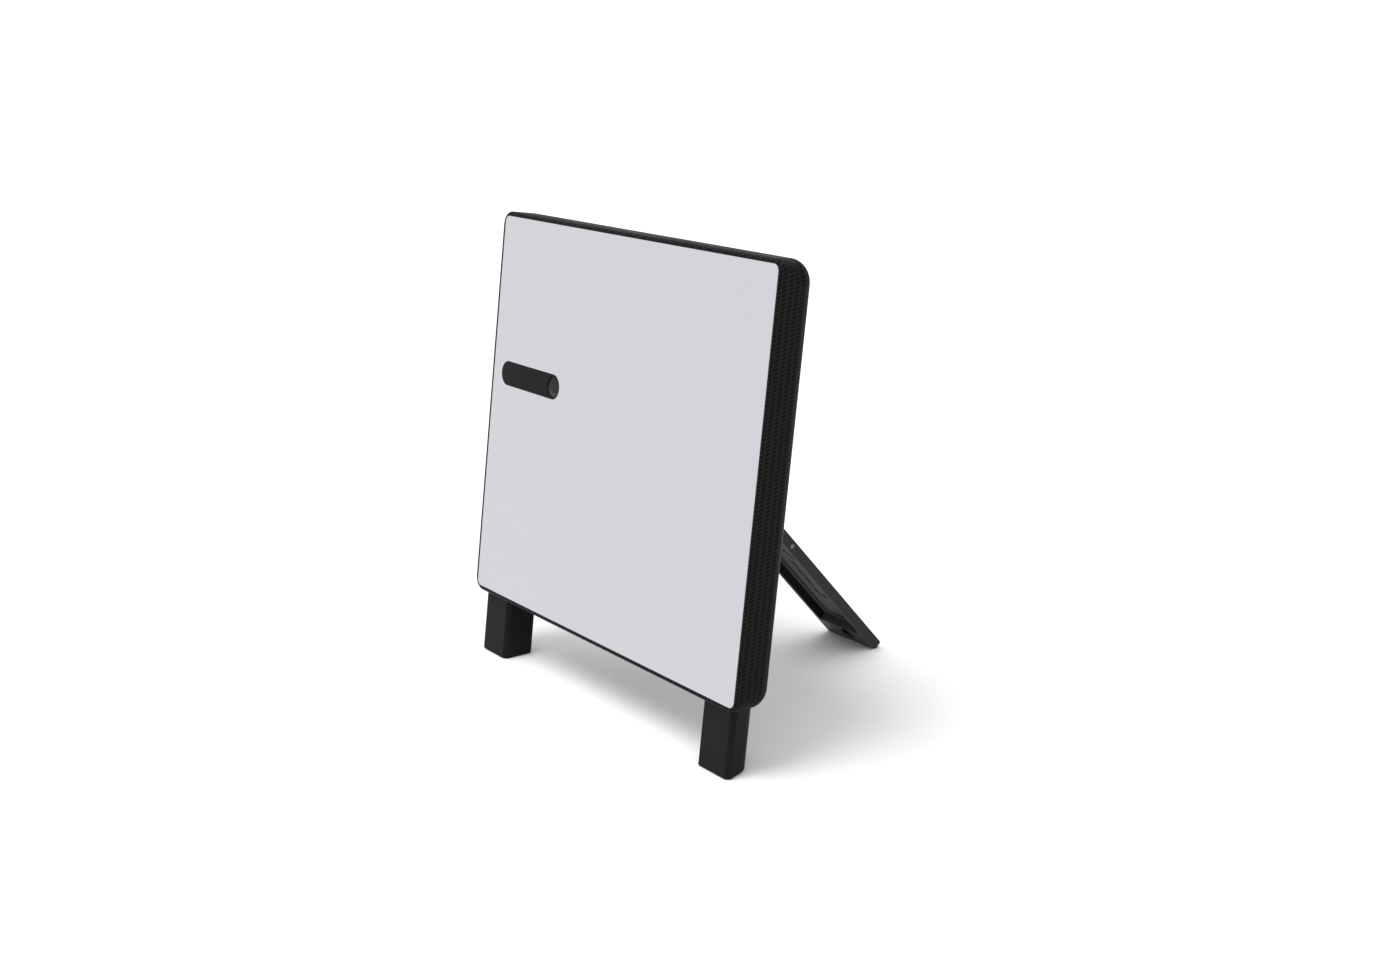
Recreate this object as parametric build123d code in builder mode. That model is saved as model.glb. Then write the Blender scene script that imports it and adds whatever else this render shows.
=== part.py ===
from build123d import *
import os
from math import cos, radians, sin, tan

os.makedirs("parts", exist_ok=True)

# ---------------------------------------------------------------- attitude
tilt = 8.0                  # degrees that the unit leans back from upright
stand_slope = 41.3          # degrees between the stand and the depth direction

# ---------------------------------------------------------------- clearances
running_gap = 0.05          # radial, between a pin and the bore that turns on it
slide_gap = 0.4             # between a sliding piece and its guide
body_gap = 0.3              # between neighbours that move apart
edge_gap = 0.4              # round a flush door in its opening

# ---------------------------------------------------------------- front panel and its seat
panel_width = 300.0
panel_height = 254.0
panel_corner = 4.3
panel_thickness = 2.0
tape_thickness = 0.4
seal_width = 0.8
seal_setback = 0.15
ledge_width = 4.0
ledge_thickness = 2.2
ledge_corner = 3.0

# ---------------------------------------------------------------- housing
rim_width = 2.7
rim_height = 2.35           # of the rim above and below the panel
wall = 2.2
front_corner = 8.0
back_corner = 14.0
edge_depth = 25.5
front_fillet = 2.0
back_fillet = 10.0
corner_blend = 1.5          # straight length left in front of the back fillet
hump_margin = 10.5          # flat back rim around the raised back
hump_run = 30.0
hump_rise = 17.0
hump_corner = 14.0
hump_top_corner = 20.0

# ---------------------------------------------------------------- camera window
window_length = 74.4
window_height = 16.3
window_left = 10.4          # from the panel's left edge to the window
window_drop = 103.85        # from the panel's top edge to the window's centre line
window_flange = 1.8
window_flange_thickness = 1.0
window_fit = 0.05
lens_port_radius = 6.8
lens_cover_thickness = 1.0
lens_cover_setback = 0.9
lens_lip = 1.0

# ---------------------------------------------------------------- front legs
leg_width = 31.2
leg_front = 4.6             # depth of the leg's front face
leg_back = 26.5
leg_inset = 8.4             # from the housing's side to the leg's outer face
leg_taper = 7.0             # of the outer face towards the back
leg_reach = 42.0            # below the housing, along the front face
leg_engagement = 36.0
leg_travel = 40.0
leg_chamfer = 2.5           # of both front corners
leg_edge = 1.0              # rounding of the chamfers' edges
leg_outer_corner = 15.0
leg_inner_corner = 2.5
leg_sole_fillet = 0.8
leg_hole_gap = 0.5
leg_hole_height = 31.0      # from below the housing to the top of the leg's hole
lug_reach = 2.8
lug_height = 10.0
lug_depth = 12.0
guide_wall = 1.5
guide_back_wall = 1.8
guide_side = 4.5
guide_outer_wall = 2.0
guide_lip = 6.0
guide_above_floor = 21.0    # from the housing's underside to the guide's lower end
guide_top_margin = 4.0
ear_length = 12.0
ear_thickness = 2.0
ear_height = 45.0
ear_screw_pitch = 31.0
ear_rise = 8.0              # from the guide's lower end to its ear
pad_thickness = 2.5
pad_proud = 0.5
pad_margin = 3.5
pad_outer_margin = 11.0     # from the leg's outer face to the pad
pad_corner = 2.0

# ---------------------------------------------------------------- stand
hinge_depth = 35.5
hinge_height = 19.6
arm_length = 130.1          # hinge pin to guide pins
arm_width = 42.4
arm_thickness = 3.6
arm_end = 4.0               # arm beyond the guide pins
arm_end_corner = 2.0
arm_window_width = 22.0
arm_window_length = 70.0
arm_window_start = 20.0
arm_window_corner = 5.5
knuckle_radius = 3.6
hinge_pin_radius = 2.0
hinge_pin_chamfer = 0.4
stop_height = 4.6
stop_foot = 1.2
stop_crest = 5.8
groove_width = 2.0
groove_depth = 2.2
leg_flange = 3.2
stand_web = 1.5
stand_upper = 30.0          # leg above the guide pins
bridge_length = 10.0
flange_at_pin = 7.2         # thickness of the leg's side at the guide pins
flange_at_foot = 7.1
channel_length = 96.0       # from the guide pins to the channel's end wall
floor_bite = 0.8            # how far the leg's inner corner would reach below the floor
tip_fillet = 1.2
stand_corner = 2.5
guide_pin_radius = 1.5
guide_pin_tip_radius = 0.85
finger_radius = 5.5
finger_depth = 1.6
finger_offset = 6.5         # from the channel's end wall to the finger recess
finger_x = 4.0
rib_groove_width = 1.8
rib_groove_depth = 0.7
rib_outline_x = 15.6        # from the stand's middle to the outline groove
rib_outline_corner = 6.0
rib_outline_end = 4.0       # from the channel's end wall to the outline groove
rib_head = [(-9.9, 24.5), (-3.0, 17.6), (3.9, 24.5)]
rib_slit = [(-2.5, 28.5), (-2.5, 57.5)]
rib_foot = [(-3.8, 60.0), (-2.6, 65.2), (1.5, 67.6)]
rib_foot_end = (9.5, 67.8)
stand_travel = 86.0
stand_pad_proud = 0.4
stand_pad_width = 38.0
stand_pad_length = 1.6
stand_pad_depth = 1.4

# ---------------------------------------------------------------- stand bay and bracket
bay_width = 54.0
bay_floor = 30.8            # depth of the bay's floor
bay_above_hinge = 15.0
bracket_thickness = 2.2
bracket_height = 6.0
bracket_foot = 4.6
bracket_above_hinge = 7.4
bracket_ear = 3.0
ear_radius = 4.6
bracket_screw_pitch = 28.0
washer_thickness = 0.5
washer_radius = 3.4
washer_gap = 0.1

# ---------------------------------------------------------------- inner frame and boards
chassis_depth = 12.0
chassis_thickness = 1.5
chassis_side_margin = 10.5  # from the housing's outside to the plate
chassis_corner = 8.0
chassis_leg_height = -45.0
lug_width = 10.0
lug_reach_in = 14.0
lug_length = 6.5
side_lug_heights = (100.0, 30.0, -38.0)
end_lug_offset = 50.0
slot_length = 50.0
slot_height = 10.0
slot_points = [(-97.0, 66.0), (-97.0, 86.0)]
antenna_side_gap = 5.2      # from the camera's board to the antenna board
antenna_guide_gap = 1.6
antenna_end_margin = 32.0   # from the panel's end to the antenna board
antenna_depth = 5.0
board_thickness = 1.6
patch_thickness = 0.3
patch_share = 0.6           # of the pitch between patches
patch_columns = 4
patch_rows = 10
patch_steps = 11            # patch pitches across the antenna board
patch_bank_steps = 3        # patch pitches from the board's middle to each bank's
board_corner = 3.0
shield_corner = 2.0
screw_edge = 1.0            # from a screw head to the edge of its plate
spacer_radius = 3.0
spacer_inset = 6.0
shield_width = 90.0
shield_height = 64.0
shield_thickness = 3.4
shield_wall = 0.8
main_side_gap = 21.0        # from a leg guide's ear to the main board
main_height = 150.0
main_center_height = -20.0
main_gap = 4.0              # between the inner frame and the main board
processor_width = 50.0
processor_height = 40.0
processor_thickness = 3.6
processor_x = 56.0
processor_height_center = -30.0
radio_width = 24.0
radio_height = 18.0
radio_thickness = 2.6
radio_chamfer = 0.3
radio_x = 56.0
radio_drop = 30.0           # from the main board's top edge to the radio module's centre
link_width = 30.0
link_thickness = 5.0
link_x = 40.0
link_drop = 9.0             # from the main board's top edge to the connector
link_slot_gap = 1.0

# ---------------------------------------------------------------- camera
camera_board_size = 26.0
camera_board_thickness = 1.2
camera_screw_edge = 0.5
lens_holder_size = 14.0
lens_holder_thickness = 3.4
lens_holder_corner = 1.0
barrel_radius = 5.6
barrel_bore = 4.4
barrel_front = 3.4          # depth of the barrel's front end
barrel_chamfer = 0.7
lens_length = 2.6
lens_setback = 0.3
lens_dome_radius = 7.0

# ---------------------------------------------------------------- battery and its door
battery_width = 60.0
battery_height = 112.0
battery_thickness = 14.5
battery_x = -68.0
battery_height_center = 2.0
battery_gap = 0.5
battery_corner = 3.0
battery_edge = 1.5
battery_setback = 0.9       # from the housing's inner skin to the battery
cradle_wall = 1.6
cradle_floor = 1.4
door_width = 73.0
door_height = 122.0
door_corner = 1.0
door_hinge_gap = 1.0
door_pin_radius = 0.75
door_pin_engagement = 5.0
knuckle_edge = 1.5          # from a flush door's edge to its hinge axis
knuckle_depth = 1.6         # from the door's outer face to its hinge axis
boss_size = 7.0
thumb_radius = 9.0
thumb_depth = 1.0
contact_size = 4.0
contact_pitch = 10.0
contact_x = -50.0
contact_height = 30.0
contact_gap = 3.0

# ---------------------------------------------------------------- ports, switch and status light
side_board_width = 52.0
side_board_height = 148.0
side_board_x = 71.0
side_board_depth = 30.0
side_post_radius = 2.8
side_post_inset = 4.5
cover_width = 41.0
cover_height = 17.0
cover_height_center = -56.0
cover_corner = 2.0
cover_rim = 5.0
cover_pin_engagement = 4.0
pocket_depth = 2.3
usb_width = 9.0
usb_height = 3.2
usb_wall = 0.35
usb_tongue_gap = 1.0
usb_back_wall = 2.0
usb_x = 60.5
jack_size = 9.6
jack_bore = 3.2
jack_pin = 1.0
jack_pin_setback = 1.0
jack_back_wall = 1.0
jack_x = 80.0
socket_gap = 0.3
socket_setback = 0.1        # from the pocket's floor to the sockets' mouths
button_radius = 7.0
button_proud = 0.6
button_edge = 0.5
button_flange = 1.6
button_flange_thickness = 1.0
button_height_center = 52.0
button_travel = 0.6
button_rest_gap = 0.1       # from the pressed button to its switch
button_stem_radius = 2.0
switch_size = 6.2
switch_thickness = 3.6
switch_case_thickness = 2.4
switch_plunger_radius = 1.55
light_radius = 1.5
light_drop = 15.0           # from the button to the status light
led_size = 3.0
led_thickness = 0.8
pipe_gap = 0.15             # from the light to its pipe

# ---------------------------------------------------------------- fasteners
screw_radius = 1.25
screw_head_radius = 2.4
screw_head_thickness = 1.3
screw_hole_gap = 0.15
chassis_screw_length = 7.0
guide_screw_length = 3.5
spacer_screw_length = 8.3
board_screw_length = 7.0
bracket_screw_length = 4.0
side_screw_length = 6.0

# ================================================================ derived places
housing_width = panel_width + 2 * (seal_width + rim_width)
housing_height = panel_height + 2 * (seal_width + rim_height)
half_width = housing_width / 2
half_height = housing_height / 2
back_depth = edge_depth + hump_rise
inner_back = back_depth - wall
seat_depth = panel_thickness + tape_thickness
ledge_back = seat_depth + ledge_thickness
hump_slope = hump_rise / hump_run
skin_shift = wall * (1 + hump_slope ** 2) ** 0.5

lean_sin = sin(radians(tilt))
lean_cos = cos(radians(tilt))
slope_sin = sin(radians(stand_slope))
slope_cos = cos(radians(stand_slope))
foot_sin = sin(radians(stand_slope + tilt))
foot_cos = cos(radians(stand_slope + tilt))

# height of the panel's centre above the floor, from the legs' reach
center_rise = leg_front * lean_sin + (half_height + leg_reach) * lean_cos
# the stand's hinge above the floor, and the length from there to the foot's end
hinge_rise = center_rise - hinge_depth * lean_sin + hinge_height * lean_cos
stand_outer = flange_at_pin / 2
stand_inner_at_foot = flange_at_foot - stand_outer
stand_length = (hinge_rise + floor_bite - stand_inner_at_foot * foot_cos) / foot_sin
# the unit's foremost and rearmost points, measured from the panel's centre
housing_front = front_fillet * lean_cos - (half_height - front_fillet) * lean_sin - front_fillet
sole_round_height = pad_proud + leg_sole_fillet - center_rise
leg_foremost = (leg_front + leg_sole_fillet + sole_round_height * lean_sin) / lean_cos - leg_sole_fillet
front_most = min(housing_front, leg_foremost)
hinge_back = hinge_depth * lean_cos + hinge_height * lean_sin
tip_back = (stand_length - tip_fillet) * foot_cos + (stand_outer - tip_fillet) * foot_sin
rear_most = hinge_back + tip_back + tip_fillet
center_y = -(front_most + rear_most) / 2

up = Vector(0, lean_sin, lean_cos)
back = Vector(0, lean_cos, -lean_sin)
right = Vector(1, 0, 0)
panel_center = Vector(0, center_y, center_rise)
down_stand = back * slope_cos - up * slope_sin
off_stand = back * slope_sin + up * slope_cos
hinge_center = panel_center + back * hinge_depth + up * hinge_height
depth_axis = Axis(panel_center, back)
stand_axis = Axis(hinge_center, down_stand)


def behind(depth):
    # parallel to the panel, seen from the front: local x right, y up, z forward
    return Plane(panel_center + back * depth, x_dir=right, z_dir=-back)


def level(height):
    # across the unit: local x right, y back, z up
    return Plane(panel_center + up * height, x_dir=right, z_dir=up)


def side(x):
    # upright, seen from the right: local x back, y up, z right
    return Plane(panel_center + right * x, x_dir=back, z_dir=right)


def stand_side(x):
    # the stand's profile: local x down the stand, y off its outer face, z right
    return Plane(hinge_center + right * x, x_dir=down_stand, z_dir=right)


def stand_face(offset):
    # along the stand: local x right, y down the stand, z off its outer face
    return Plane(hinge_center + off_stand * offset, x_dir=right, z_dir=off_stand)


def discs(points, depth, radius):
    # circles on a plane parallel to the panel, at (x, height) points
    with BuildSketch(behind(depth)) as sketch:
        with Locations(*points):
            Circle(radius)
    return sketch.sketch


def plates(points, depth, width, height):
    # rectangles on a plane parallel to the panel, at (x, height) points
    with BuildSketch(behind(depth)) as sketch:
        with Locations(*points):
            Rectangle(width, height)
    return sketch.sketch


def screws(points, seat, length, forward):
    # pan-head screws whose heads bear on a face at one depth, pointing forward or back
    sign = 1 if forward else -1
    with BuildPart() as group:
        extrude(discs(points, seat, screw_radius), amount=sign * length)
        extrude(discs(points, seat, screw_head_radius), amount=-sign * screw_head_thickness)
    return group.part


# ================================================================ housing
window_x = -panel_width / 2 + window_left + window_length / 2
window_y = panel_height / 2 - window_drop
lens_x = window_x + (window_length - window_height) / 2

leg_outer_x = half_width - leg_inset
leg_inner_x = leg_outer_x - leg_width
leg_depth_center = (leg_front + leg_back) / 2
chamfer_back = leg_front + leg_chamfer
leg_top = -half_height + leg_engagement
guide_bottom = -half_height + guide_above_floor

side_lugs = [(s * (half_width - wall - lug_reach_in / 2), h) for s in (-1, 1) for h in side_lug_heights]
end_lugs = [
    (x * end_lug_offset, s * (half_height - wall - lug_reach_in / 2))
    for x in (-1, 1) for s in (-1, 1)
]
chassis_half_width = half_width - chassis_side_margin
chassis_half_height = half_height - chassis_side_margin
chassis_back = chassis_depth + chassis_thickness
side_screw_x = chassis_half_width - screw_head_radius - screw_edge
end_screw_y = chassis_half_height - screw_head_radius - screw_edge
chassis_points = [(s * side_screw_x, h) for s in (-1, 1) for h in side_lug_heights]
chassis_points += [(x * end_lug_offset, s * end_screw_y) for x in (-1, 1) for s in (-1, 1)]

bay_top = hinge_height + bay_above_hinge
bay_center = (bay_top - half_height) / 2
bay_length = bay_top + half_height

door_x = battery_x - (door_hinge_gap + knuckle_edge) / 2
door_y = battery_height_center
door_axis_x = door_x - door_width / 2 + knuckle_edge
flush_axis_depth = back_depth - knuckle_depth
cover_x = side_board_x
cover_axis_y = cover_height_center - cover_height / 2 + knuckle_edge
side_posts = [
    (side_board_x + sx * (side_board_width / 2 - side_post_inset),
     sy * (side_board_height / 2 - side_post_inset))
    for sx in (-1, 1) for sy in (-1, 1)
]
light_y = button_height_center - light_drop
bracket_base_height = hinge_height + bracket_above_hinge + bracket_height / 2
bracket_points = [(sx * bracket_screw_pitch / 2, bracket_base_height) for sx in (-1, 1)]


def leg_section(height, gap):
    # the right leg's section, larger by a gap all round
    with BuildSketch(level(height)) as sketch:
        with BuildLine():
            FilletPolyline(
                (leg_inner_x + leg_chamfer, leg_front), (leg_outer_x - leg_chamfer, leg_front),
                (leg_outer_x, chamfer_back), (leg_outer_x - leg_taper, leg_back),
                (leg_inner_x, leg_back), (leg_inner_x, chamfer_back),
                radius=(leg_edge, leg_edge, leg_edge, leg_outer_corner, leg_inner_corner, leg_edge),
                close=True)
        make_face()
        if gap > 0:
            offset(amount=gap)
    return sketch.sketch


with BuildPart() as cavity:
    with BuildSketch(behind(edge_depth - wall)):
        RectangleRounded(housing_width - 2 * wall, housing_height - 2 * wall, back_corner - wall)
    extrude(amount=edge_depth - wall - ledge_back)
    fillet(cavity.edges().group_by(depth_axis)[-1], back_fillet - wall)
    inner_rise = inner_back - (edge_depth - skin_shift)
    inner_run = inner_rise / hump_slope
    with BuildSketch(behind(edge_depth - skin_shift)):
        RectangleRounded(housing_width - 2 * hump_margin, housing_height - 2 * hump_margin, hump_corner)
    with BuildSketch(behind(inner_back)):
        RectangleRounded(housing_width - 2 * (hump_margin + inner_run),
                         housing_height - 2 * (hump_margin + inner_run), hump_top_corner)
    loft()
    # the bay's tray stays standing in the cavity
    with BuildSketch(behind(back_depth)):
        with Locations((0, bay_center + wall / 2)):
            Rectangle(bay_width + 2 * wall, bay_length + wall)
    extrude(amount=back_depth - bay_floor + wall, mode=Mode.SUBTRACT)

with BuildPart() as housing:
    # rounded box whose corners widen towards the back
    blend_depth = edge_depth - back_fillet - corner_blend
    with BuildSketch(behind(blend_depth)):
        RectangleRounded(housing_width, housing_height, back_corner)
    with BuildSketch(behind(0)):
        RectangleRounded(housing_width, housing_height, front_corner)
    loft()
    with BuildSketch(behind(edge_depth)):
        RectangleRounded(housing_width, housing_height, back_corner)
    extrude(amount=edge_depth - blend_depth)
    fillet(housing.edges().group_by(depth_axis)[-1], back_fillet)
    fillet(housing.edges().group_by(depth_axis)[0], front_fillet)
    # raised back
    with BuildSketch(behind(edge_depth)):
        RectangleRounded(housing_width - 2 * hump_margin, housing_height - 2 * hump_margin, hump_corner)
    with BuildSketch(behind(back_depth)):
        RectangleRounded(housing_width - 2 * (hump_margin + hump_run),
                         housing_height - 2 * (hump_margin + hump_run), hump_top_corner)
    loft()
    # hollow, panel seat and the opening inside the ledge
    add(cavity.part, mode=Mode.SUBTRACT)
    with BuildSketch(behind(seat_depth)):
        RectangleRounded(panel_width + 2 * seal_width, panel_height + 2 * seal_width,
                         panel_corner + seal_width)
    extrude(amount=seat_depth, mode=Mode.SUBTRACT)
    with BuildSketch(behind(ledge_back)):
        RectangleRounded(panel_width - 2 * ledge_width, panel_height - 2 * ledge_width, ledge_corner)
    extrude(amount=ledge_thickness, mode=Mode.SUBTRACT)
    # stand bay
    with BuildSketch(behind(back_depth)):
        with Locations((0, bay_center)):
            Rectangle(bay_width, bay_length)
    extrude(amount=back_depth - bay_floor, mode=Mode.SUBTRACT)
    # lugs on the side and end walls that carry the inner frame
    with BuildSketch(behind(chassis_back + lug_length)):
        with Locations(*side_lugs):
            Rectangle(lug_reach_in, lug_width)
        with Locations(*end_lugs):
            Rectangle(lug_width, lug_reach_in)
    extrude(amount=lug_length)
    # posts for the side board, and thick pads round the door and cover hinges
    extrude(discs(side_posts, inner_back, side_post_radius),
            amount=inner_back - side_board_depth - board_thickness)
    with BuildSketch(behind(back_depth)):
        for end in (-1, 1):
            with Locations((door_axis_x, door_y + end * (door_height + 2 * edge_gap + boss_size) / 2)):
                Rectangle(boss_size, boss_size)
        with Locations((cover_x, cover_height_center)):
            Rectangle(cover_width + 2 * (edge_gap + cover_rim), cover_height + 2 * cover_rim)
    extrude(amount=pocket_depth + wall)
    # holes for both legs
    leg_hole = leg_section(-half_height - wall, leg_hole_gap)
    extrude(leg_hole, amount=leg_hole_height, mode=Mode.SUBTRACT)
    extrude(mirror(leg_hole, about=Plane.YZ, mode=Mode.PRIVATE), amount=leg_hole_height, mode=Mode.SUBTRACT)
    # battery door opening and port pocket
    with BuildSketch(behind(back_depth)):
        with Locations((door_x - (door_hinge_gap - edge_gap) / 2, door_y)):
            RectangleRounded(door_width + edge_gap + door_hinge_gap, door_height + 2 * edge_gap, door_corner)
    extrude(amount=wall, mode=Mode.SUBTRACT)
    with BuildSketch(behind(back_depth)):
        with Locations((cover_x, cover_height_center - (door_hinge_gap - edge_gap) / 2)):
            RectangleRounded(cover_width + 2 * edge_gap, cover_height + edge_gap + door_hinge_gap,
                             cover_corner)
    extrude(amount=pocket_depth, mode=Mode.SUBTRACT)
    groove_height = 2 * (knuckle_edge + door_hinge_gap)
    with BuildSketch(behind(back_depth)):
        with Locations((cover_x, cover_axis_y + (knuckle_edge - door_hinge_gap) / 2)):
            Rectangle(cover_width + 2 * edge_gap, groove_height)
    extrude(amount=2 * knuckle_depth + body_gap, mode=Mode.SUBTRACT)
    # bores for the hinge pins of the door and the cover
    with BuildSketch(level(door_y - door_height / 2 - edge_gap - door_pin_engagement)):
        with Locations((door_axis_x, flush_axis_depth)):
            Circle(door_pin_radius)
    extrude(amount=door_height + 2 * edge_gap + 2 * door_pin_engagement, mode=Mode.SUBTRACT)
    with BuildSketch(side(cover_x - cover_width / 2 - edge_gap - cover_pin_engagement)):
        with Locations((flush_axis_depth, cover_axis_y)):
            Circle(door_pin_radius)
    extrude(amount=cover_width + 2 * (edge_gap + cover_pin_engagement), mode=Mode.SUBTRACT)
    # sockets, button and status light
    with BuildSketch(behind(back_depth)):
        with Locations((usb_x, cover_height_center)):
            SlotOverall(usb_width + 2 * socket_gap, usb_height + 2 * socket_gap)
        with Locations((jack_x, cover_height_center)):
            Circle(jack_size / 2 + socket_gap)
        with Locations((side_board_x, button_height_center)):
            Circle(button_radius + body_gap)
        with Locations((side_board_x, light_y)):
            Circle(light_radius + running_gap)
    extrude(amount=back_depth - inner_back + pocket_depth, mode=Mode.SUBTRACT)
    # threaded holes in the lugs, the posts and the bay floor
    extrude(discs(chassis_points, chassis_depth + chassis_screw_length, screw_radius),
            amount=chassis_screw_length, mode=Mode.SUBTRACT)
    extrude(discs(side_posts, side_board_depth + side_screw_length, screw_radius),
            amount=side_screw_length, mode=Mode.SUBTRACT)
    extrude(discs(bracket_points, bay_floor + wall, screw_radius), amount=2 * wall, mode=Mode.SUBTRACT)
housing.part.label = "housing"
export_step(housing.part, "parts/housing.step")

# ================================================================ front panel
with BuildPart() as front_panel:
    with BuildSketch(behind(panel_thickness)):
        RectangleRounded(panel_width, panel_height, panel_corner)
        with Locations((window_x, window_y)):
            SlotOverall(window_length, window_height, mode=Mode.SUBTRACT)
    extrude(amount=panel_thickness)
front_panel.part.label = "front_panel"
export_step(front_panel.part, "parts/front_panel.step")

with BuildPart() as panel_tape:
    with BuildSketch(behind(seat_depth)):
        RectangleRounded(panel_width, panel_height, panel_corner)
        RectangleRounded(panel_width - 2 * ledge_width, panel_height - 2 * ledge_width, ledge_corner,
                         mode=Mode.SUBTRACT)
    extrude(amount=tape_thickness)
panel_tape.part.label = "panel_tape"
export_step(panel_tape.part, "parts/panel_tape.step")

with BuildPart() as panel_seal:
    with BuildSketch(behind(seat_depth)):
        RectangleRounded(panel_width + 2 * seal_width, panel_height + 2 * seal_width,
                         panel_corner + seal_width)
        RectangleRounded(panel_width, panel_height, panel_corner, mode=Mode.SUBTRACT)
    extrude(amount=seat_depth - seal_setback)
panel_seal.part.label = "panel_seal"
export_step(panel_seal.part, "parts/panel_seal.step")

# ================================================================ camera behind its window
lens_cover_back = lens_cover_setback + lens_cover_thickness
lens_point = [(lens_x, window_y)]

with BuildPart() as camera_window:
    window_back = panel_thickness + window_flange_thickness
    with BuildSketch(behind(panel_thickness)):
        with Locations((window_x, window_y)):
            SlotOverall(window_length - 2 * window_fit, window_height - 2 * window_fit)
    extrude(amount=panel_thickness)
    with BuildSketch(behind(window_back)):
        with Locations((window_x, window_y)):
            SlotOverall(window_length + 2 * window_flange, window_height + 2 * window_flange)
    extrude(amount=window_flange_thickness)
    extrude(discs(lens_point, window_back, lens_port_radius - lens_lip),
            amount=window_back, mode=Mode.SUBTRACT)
    extrude(discs(lens_point, lens_cover_back, lens_port_radius), amount=lens_cover_back, mode=Mode.SUBTRACT)
camera_window.part.label = "camera_window"
export_step(camera_window.part, "parts/camera_window.step")

with BuildPart() as lens_cover:
    extrude(discs(lens_point, lens_cover_back, lens_port_radius - window_fit), amount=lens_cover_thickness)
lens_cover.part.label = "lens_cover"
export_step(lens_cover.part, "parts/lens_cover.step")

camera_board_front = chassis_depth - camera_board_thickness
holder_front = camera_board_front - lens_holder_thickness

with BuildPart() as camera_board:
    extrude(plates(lens_point, chassis_depth, camera_board_size, camera_board_size),
            amount=camera_board_thickness)
    camera_screw_x = camera_board_size / 2 - screw_head_radius - camera_screw_edge
    camera_points = [(lens_x + sx * camera_screw_x, window_y + sx * camera_screw_x) for sx in (-1, 1)]
    extrude(discs(camera_points, chassis_depth, screw_radius + screw_hole_gap), amount=camera_board_thickness,
            mode=Mode.SUBTRACT)
camera_board.part.label = "camera_board"
export_step(camera_board.part, "parts/camera_board.step")

with BuildPart() as lens_holder:
    extrude(plates(lens_point, camera_board_front, lens_holder_size, lens_holder_size),
            amount=lens_holder_thickness)
    fillet(lens_holder.edges().filter_by(depth_axis), lens_holder_corner)
    extrude(discs(lens_point, camera_board_front, barrel_bore), amount=lens_holder_thickness,
            mode=Mode.SUBTRACT)
lens_holder.part.label = "lens_holder"
export_step(lens_holder.part, "parts/lens_holder.step")

with BuildPart() as lens_barrel:
    extrude(discs(lens_point, holder_front, barrel_radius), amount=holder_front - barrel_front)
    extrude(discs(lens_point, holder_front, barrel_bore), amount=holder_front - barrel_front,
            mode=Mode.SUBTRACT)
    chamfer(lens_barrel.edges().group_by(depth_axis)[0].sort_by(SortBy.LENGTH)[0], barrel_chamfer)
lens_barrel.part.label = "lens_barrel"
export_step(lens_barrel.part, "parts/lens_barrel.step")

with BuildPart() as camera_lens:
    # a plane-convex lens: a ball cut by the barrel's bore
    extrude(discs(lens_point, barrel_front + lens_length, barrel_bore), amount=lens_length)
    ball_plane = behind(barrel_front + lens_setback + lens_dome_radius)
    with Locations(ball_plane):
        with Locations((lens_x, window_y)):
            Sphere(lens_dome_radius, mode=Mode.INTERSECT)
camera_lens.part.label = "camera_lens"
export_step(camera_lens.part, "parts/camera_lens.step")

# ================================================================ inner frame
link_slot_width = link_width + 2 * link_slot_gap
link_slot_height = link_thickness + 2 * link_slot_gap
link_height = main_center_height + main_height / 2 - link_drop
antenna_back = antenna_depth + board_thickness
ear_outer_x = leg_inner_x - slide_gap - guide_side
main_width = 2 * (ear_outer_x - main_side_gap)
antenna_left = lens_x + camera_board_size / 2 + antenna_side_gap
antenna_right = ear_outer_x - antenna_guide_gap
antenna_width = antenna_right - antenna_left
antenna_height = panel_height - 2 * antenna_end_margin
antenna_center_x = (antenna_left + antenna_right) / 2
patch_pitch = antenna_width / patch_steps
patch_size = patch_share * patch_pitch
spacer_points = [
    (antenna_center_x + sx * (antenna_width / 2 - spacer_inset), sy * (antenna_height / 2 - spacer_inset))
    for sx in (-1, 1) for sy in (-1, 0, 1)
]
main_front = chassis_back + main_gap
main_back = main_front + board_thickness
main_posts = [
    (sx * (main_width / 2 - spacer_inset), main_center_height + sy * (main_height / 2 - spacer_inset))
    for sx in (-1, 1) for sy in (-1, 1)
]
ear_center = guide_bottom + ear_height / 2 + ear_rise
ear_points = [
    (sx * (ear_outer_x - ear_length / 2), ear_center + sy * ear_screw_pitch / 2)
    for sx in (-1, 1) for sy in (-1, 1)
]

with BuildPart() as chassis_plate:
    with BuildSketch(behind(chassis_back)):
        RectangleRounded(2 * chassis_half_width, 2 * chassis_half_height, chassis_corner)
        # room for the legs at the lower corners
        notch_width = chassis_half_width - antenna_right
        notch_height = chassis_leg_height + chassis_half_height
        for sx in (-1, 1):
            with Locations((sx * (chassis_half_width - notch_width / 2),
                            chassis_leg_height - notch_height / 2)):
                Rectangle(notch_width, notch_height, mode=Mode.SUBTRACT)
        with Locations((link_x, link_height)):
            SlotOverall(link_slot_width + link_slot_height, link_slot_height, mode=Mode.SUBTRACT)
        with Locations(*chassis_points, *ear_points):
            Circle(screw_radius + screw_hole_gap, mode=Mode.SUBTRACT)
        with Locations(*camera_points, *spacer_points, *main_posts):
            Circle(screw_radius, mode=Mode.SUBTRACT)
        # lightening slots beside the radar board
        with Locations(*slot_points):
            SlotOverall(slot_length, slot_height, mode=Mode.SUBTRACT)
    extrude(amount=chassis_thickness)
chassis_plate.part.label = "chassis_plate"
export_step(chassis_plate.part, "parts/chassis_plate.step")

chassis_screws = screws(chassis_points, chassis_depth, chassis_screw_length, forward=False)
chassis_screws.label = "chassis_screws"
export_step(chassis_screws, "parts/chassis_screws.step")

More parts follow.
